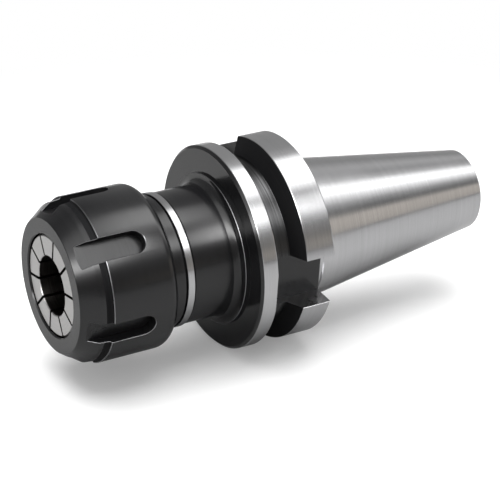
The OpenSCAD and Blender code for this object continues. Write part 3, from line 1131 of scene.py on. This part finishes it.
bpy.context.scene.view_settings.view_transform = "Standard"
world = bpy.data.worlds.new("studio")
bpy.context.scene.world = world
world.use_nodes = True
tree = world.node_tree
tree.nodes.clear()
path = add(tree, "ShaderNodeLightPath").outputs
shiny = calc(tree, "MAXIMUM", path["Is Glossy Ray"], path["Is Transmission Ray"])
soft = add(tree, "ShaderNodeBackground", {0: WHITE, 1: SOFT_LEVEL}).outputs[0]
mirrored = add(tree, "ShaderNodeBackground", {0: studio_light(tree), 1: LIGHT_SCALE}).outputs[0]
white = add(tree, "ShaderNodeBackground", {0: WHITE, 1: 1.0}).outputs[0]
lit = mixed(tree, shiny, soft, mirrored)
seen = mixed(tree, path["Is Camera Ray"], lit, white)
add(tree, "ShaderNodeOutputWorld", {0: seen})
print("the world's tree has", len(tree.nodes), "nodes")

# %% [markdown]
# ## The tables
# The holder rests on its flange, on its side, so the table runs along the axis, one flange
# radius away. A second table lies under the nut's face, for the views in which the holder
# stands up, and it goes down with the nut when the nut is screwed off. It is hidden from
# reflections and bounced light, so it changes nothing in the lying view. Both tables are seen
# from above only, keep the holder's shadow, and turn into the background's white further out.

# %% The tables' finish
TABLE_GREY = (0.8, 0.8, 0.8, 1)
TABLE_GLOW = 0.2
BOUNCE_GREY = (0.40, 0.40, 0.40, 1)
FADE_TO_WHITE = (0.10, 0.26)


def table_finish(name, centre):
    """White and matt near the centre, plain white far from it, and clear from below."""
    made = bpy.data.materials.new(name)
    made.use_nodes = True
    tree = made.node_tree
    tree.nodes.clear()
    where = add(tree, "ShaderNodeTexCoord").outputs["Object"]
    away = add(tree, "ShaderNodeVectorMath", {0: where, 1: centre}, operation="DISTANCE")
    far = smooth_share(tree, away.outputs["Value"], *FADE_TO_WHITE)
    matt = add(tree, "ShaderNodeBsdfDiffuse", {0: TABLE_GREY})
    glow = add(tree, "ShaderNodeEmission", {0: WHITE, 1: TABLE_GLOW})
    near = add(tree, "ShaderNodeAddShader", {0: matt.outputs[0], 1: glow.outputs[0]}).outputs[0]
    clean = add(tree, "ShaderNodeEmission", {0: WHITE, 1: 1.0}).outputs[0]
    top = mixed(tree, far, near, clean)
    greyer = add(tree, "ShaderNodeBsdfDiffuse", {0: BOUNCE_GREY}).outputs[0]
    camera_ray = add(tree, "ShaderNodeLightPath").outputs["Is Camera Ray"]
    bounced = mixed(tree, camera_ray, greyer, top)
    below = add(tree, "ShaderNodeBsdfTransparent").outputs[0]
    backfacing = add(tree, "ShaderNodeNewGeometry").outputs["Backfacing"]
    result = mixed(tree, backfacing, bounced, below)
    add(tree, "ShaderNodeOutputMaterial", {0: result})
    return made


print("the tables turn white from", *FADE_TO_WHITE, "m")

# %% Two tables
TABLE_HALF = 1.5


def table(name, centre, normal):
    """A flat square round the centre, whose upper side is the one that the normal leaves."""
    side = normal.orthogonal().normalized() * TABLE_HALF
    other = normal.cross(side)
    corners = [
        centre + side + other, centre - side + other, centre - side - other,
        centre + side - other,
    ]
    made = new_object(name, corners, [(0, 1, 2, 3)])
    if made.data.polygons[0].normal.dot(normal) < 0:
        made.data.flip_normals()
    made.data.materials.append(table_finish(name, centre))
    made.visible_shadow = False
    return made


table_tilt = math.atan(math.tan(AXIS_DIP) / math.cos(AXIS_AZIMUTH))
up_in_picture = Vector((0, -math.cos(table_tilt), -math.sin(table_tilt)))
table_up = Vector((pic_x.dot(up_in_picture), pic_y.dot(up_in_picture), 0)).normalized()
lying_table = table("lying_table", table_up * (-FLANGE_R * MM), table_up)
standing_table = table("standing_table", Vector((0, 0, cad_low.z)), Vector((0, 0, 1)))
standing_table.visible_diffuse = False
standing_table.visible_glossy = False
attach(standing_table, "nut")
print(lying_table.name, "is tilted by", round(math.degrees(table_tilt), 1), "degrees")

# %% [markdown]
# ## The lamps
# Two large lamps give the table its soft shadow. They are kept out of reflections, because the
# world already holds the soft box that the metal shows.

# %% Two soft lamps
def lamp(name, above, nearer, along, size, power):
    """A round lamp that shines on the holder. Its place is in metres above the table, nearer to
    the camera and along the axis."""
    place = table_up * above + toward_eye * nearer + Vector((0, 0, 1)) * along
    data = bpy.data.lights.new(name, "AREA")
    data.shape = "DISK"
    data.size = size
    data.energy = power
    made = placed(name, data)
    made.location = place
    made.rotation_mode = "QUATERNION"
    made.rotation_quaternion = (-place).to_track_quat("-Z", "Y")
    made.visible_glossy = False
    return made


soft_box = lamp("soft_box", above=0.7, nearer=-0.1, along=0.0, size=1.0, power=9.5)
fill_lamp = lamp("fill_lamp", above=0.4, nearer=0.9, along=-0.4, size=0.8, power=0.9)
print("lamps", soft_box.name, fill_lamp.name)
